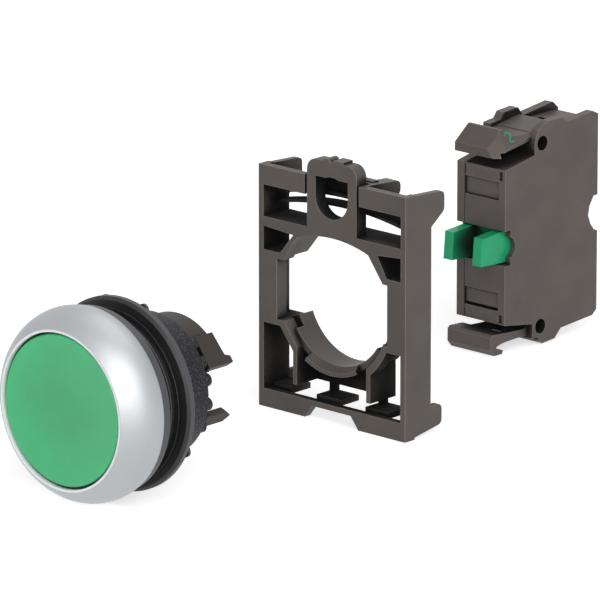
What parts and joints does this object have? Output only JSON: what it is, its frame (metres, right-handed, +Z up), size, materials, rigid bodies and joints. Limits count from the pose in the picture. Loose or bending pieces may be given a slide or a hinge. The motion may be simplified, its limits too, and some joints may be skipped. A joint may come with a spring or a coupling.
{
  "type": "pushbutton switch",
  "caption": "Panel pushbutton with sprung round cap in a silver ring, its open clip-on fixing adapter with saddle and finger tongue, and a screw-terminal contact block with sprung plunger.",
  "frame": {"origin": "on the floor, under the middle of the row of three modules", "axes": "+Y from the button towards the contact block, the way the button is pressed; +Z up; +X to the right as the button is faced"},
  "size_m": [0.03, 0.1264, 0.0415],
  "materials": {
    "silver_bezel": "satin silver, fine metallic grain",
    "seal_rubber": "matt black",
    "cap_green": "translucent green moulding, soft gloss",
    "black_gloss": "polished black",
    "slate_plastic": "slate grey moulding, satin",
    "gasket_rubber": "matt dark rubber",
    "warm_plastic": "warm brown-grey moulding",
    "dark_plastic": "dark grey moulding",
    "adapter_plastic": "warm brown-grey moulding, satin",
    "block_plastic": "warm brown-grey moulding, satin",
    "plunger_green": "green moulding",
    "spring_steel": "drawn spring wire",
    "contact_brass": "stamped brass",
    "contact_silver": "silver contact rivets",
    "plated_steel": "zinc-plated steel"
  },
  "bodies": {
    "base": {"front_ring": "silver_bezel", "lip_seal": "seal_rubber", "bezel_base": "black_gloss", "collar_ring": "slate_plastic", "panel_gasket": "gasket_rubber", "operator_body": "slate_plastic", "coupling_cage": "warm_plastic", "return_spring": "spring_steel", "adapter_frame": "adapter_plastic", "block_housing": "block_plastic", "block_cover": "block_plastic", "plunger_spring": "spring_steel", "fixed_contact_upper": "contact_brass", "fixed_contact_lower": "contact_brass", "fixed_tips": "contact_silver"},
    "button": {"button_cap": "cap_green", "button_carrier": "dark_plastic"},
    "plunger": {"contact_plunger": "plunger_green", "bridge_spring": "spring_steel"},
    "bridge": {"contact_bridge": "contact_brass", "bridge_tips": "contact_silver"},
    "upper_clamp": {"terminal_screw_upper": "plated_steel", "clamp_plate_upper": "plated_steel"},
    "lower_clamp": {"terminal_screw_lower": "plated_steel", "clamp_plate_lower": "plated_steel"}
  },
  "joints": [
    {"name": "button_press", "type": "slide", "parent": "base", "child": "button", "axis": [0, 1, 0], "range_m": [0, 0.0055], "stiffness_N_per_m": 600, "springref_m": -0.003, "deforming": ["return_spring"]},
    {"name": "plunger_press", "type": "slide", "parent": "base", "child": "plunger", "axis": [0, 1, 0], "range_m": [0, 0.004], "stiffness_N_per_m": 500, "springref_m": -0.002, "deforming": ["plunger_spring"]},
    {"name": "bridge_lag", "type": "slide", "parent": "plunger", "child": "bridge", "axis": [0, -1, 0], "range_m": [0, 0.001], "deforming": ["bridge_spring"]},
    {"name": "upper_clamp_travel", "type": "slide", "parent": "base", "child": "upper_clamp", "axis": [0, -1, 0], "range_m": [0, 0.0016]},
    {"name": "lower_clamp_travel", "type": "slide", "parent": "base", "child": "lower_clamp", "axis": [0, -1, 0], "range_m": [0, 0.0016]}
  ],
  "couplings": [
    {"joint": "bridge_lag", "follows": "plunger_press", "ratio": 0.25}
  ]
}
